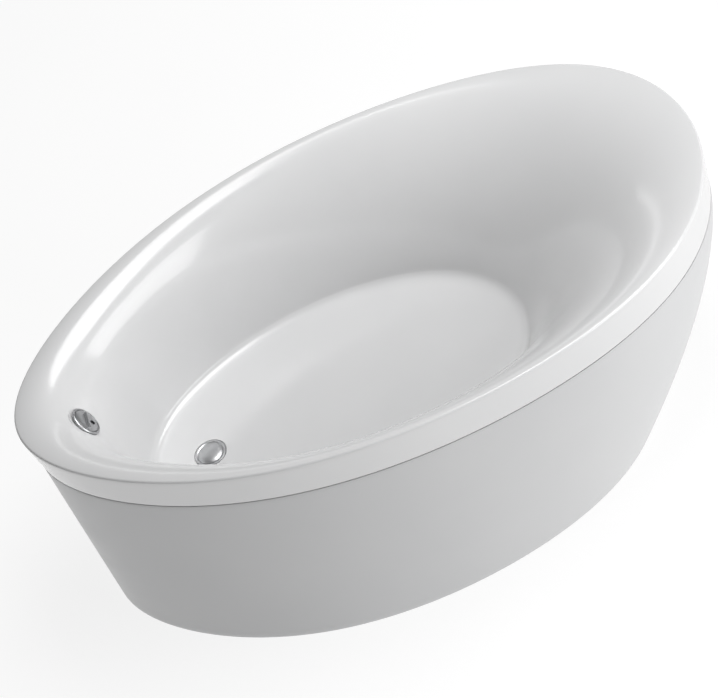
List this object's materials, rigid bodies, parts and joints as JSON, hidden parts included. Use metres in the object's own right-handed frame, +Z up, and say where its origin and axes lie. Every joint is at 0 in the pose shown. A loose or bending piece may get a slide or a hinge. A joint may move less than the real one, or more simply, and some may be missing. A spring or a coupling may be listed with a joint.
{
  "type": "freestanding bathtub",
  "caption": "Freestanding egg-shaped acrylic bathtub with a wide rolled rim, tapered skirt, levelling feet, pop-up waste and a turning overflow control.",
  "frame": {"origin": "on the floor under the middle of the rim's outline", "axes": "+X along the tub toward the sloping head end, +Z up, with the waste and overflow at the -X end"},
  "size_m": [1.8, 1.0692, 0.66],
  "materials": {
    "gloss_white_acrylic": "high gloss",
    "satin_white_acrylic": "satin",
    "chrome": "polished",
    "zinc_plated_steel": "zinc plated",
    "black_rubber": "matt",
    "grey_plastic": "satin",
    "white_plastic": "satin",
    "chipboard": "raw board",
    "brass": "plain"
  },
  "bodies": {
    "tub": {"tub_shell": "gloss_white_acrylic", "skirt_panel": "satin_white_acrylic", "seam_strip": "black_rubber", "joining_plate_1": "white_plastic", "joining_plate_2": "white_plastic", "joining_plate_3": "white_plastic", "joining_plate_4": "white_plastic", "joining_plate_5": "white_plastic", "joining_plate_6": "white_plastic", "base_board": "chipboard", "rail_foot_end": "zinc_plated_steel", "rail_head_end": "zinc_plated_steel", "rail_screw_foot_end_left": "zinc_plated_steel", "rail_screw_foot_end_right": "zinc_plated_steel", "rail_screw_head_end_left": "zinc_plated_steel", "rail_screw_head_end_right": "zinc_plated_steel", "lock_nut_foot_end_left": "zinc_plated_steel", "lock_nut_foot_end_right": "zinc_plated_steel", "lock_nut_head_end_left": "zinc_plated_steel", "lock_nut_head_end_right": "zinc_plated_steel", "waste_flange": "chrome", "waste_seal": "black_rubber", "waste_gasket": "black_rubber", "stem_guide": "white_plastic", "waste_body": "white_plastic", "lever_pin": "zinc_plated_steel", "trap_nut": "grey_plastic", "dip_tube": "white_plastic", "trap_body": "white_plastic", "outlet_nut": "grey_plastic", "outlet_pipe": "grey_plastic", "overflow_bezel": "chrome", "overflow_seal": "black_rubber", "overflow_gasket": "black_rubber", "overflow_elbow": "white_plastic", "overflow_nut_top": "grey_plastic", "overflow_nut_low": "grey_plastic", "overflow_pipe": "grey_plastic", "cable_gland_top": "grey_plastic", "cable_gland_low": "grey_plastic", "bowden_cable": "black_rubber"},
    "knob": {"overflow_knob": "chrome", "knob_spindle": "brass", "cable_drum": "grey_plastic"},
    "plug": {"waste_plug": "chrome", "plug_seal": "black_rubber", "plug_stem": "brass"},
    "lifter": {"lifter_lever": "grey_plastic"},
    "foot_foot_end_left": {"foot_rod_foot_end_left": "zinc_plated_steel", "foot_pad_foot_end_left": "grey_plastic"},
    "foot_foot_end_right": {"foot_rod_foot_end_right": "zinc_plated_steel", "foot_pad_foot_end_right": "grey_plastic"},
    "foot_head_end_left": {"foot_rod_head_end_left": "zinc_plated_steel", "foot_pad_head_end_left": "grey_plastic"},
    "foot_head_end_right": {"foot_rod_head_end_right": "zinc_plated_steel", "foot_pad_head_end_right": "grey_plastic"}
  },
  "joints": [
    {"name": "overflow_turn", "type": "hinge", "parent": "tub", "child": "knob", "pos_m": [-0.74613, 0, 0.58], "axis": [0.8546, 0, 0.5194], "range_deg": [0, 90]},
    {"name": "plug_lift", "type": "slide", "parent": "tub", "child": "plug", "axis": [0, 0, 1], "range_m": [0, 0.0097]},
    {"name": "lifter_turn", "type": "hinge", "parent": "tub", "child": "lifter", "pos_m": [-0.538, 0, 0.25308], "axis": [0, -1, 0], "range_deg": [0, 25]},
    {"name": "level_foot_end_left", "type": "slide", "parent": "tub", "child": "foot_foot_end_left", "axis": [0, 0, 1], "range_m": [-0.02, 0]},
    {"name": "level_foot_end_right", "type": "slide", "parent": "tub", "child": "foot_foot_end_right", "axis": [0, 0, 1], "range_m": [-0.02, 0]},
    {"name": "level_head_end_left", "type": "slide", "parent": "tub", "child": "foot_head_end_left", "axis": [0, 0, 1], "range_m": [-0.02, 0]},
    {"name": "level_head_end_right", "type": "slide", "parent": "tub", "child": "foot_head_end_right", "axis": [0, 0, 1], "range_m": [-0.02, 0]}
  ],
  "couplings": [
    {"joint": "plug_lift", "follows": "overflow_turn", "m_per_rad": 0.006175},
    {"joint": "lifter_turn", "follows": "overflow_turn", "ratio": 0.27777}
  ]
}
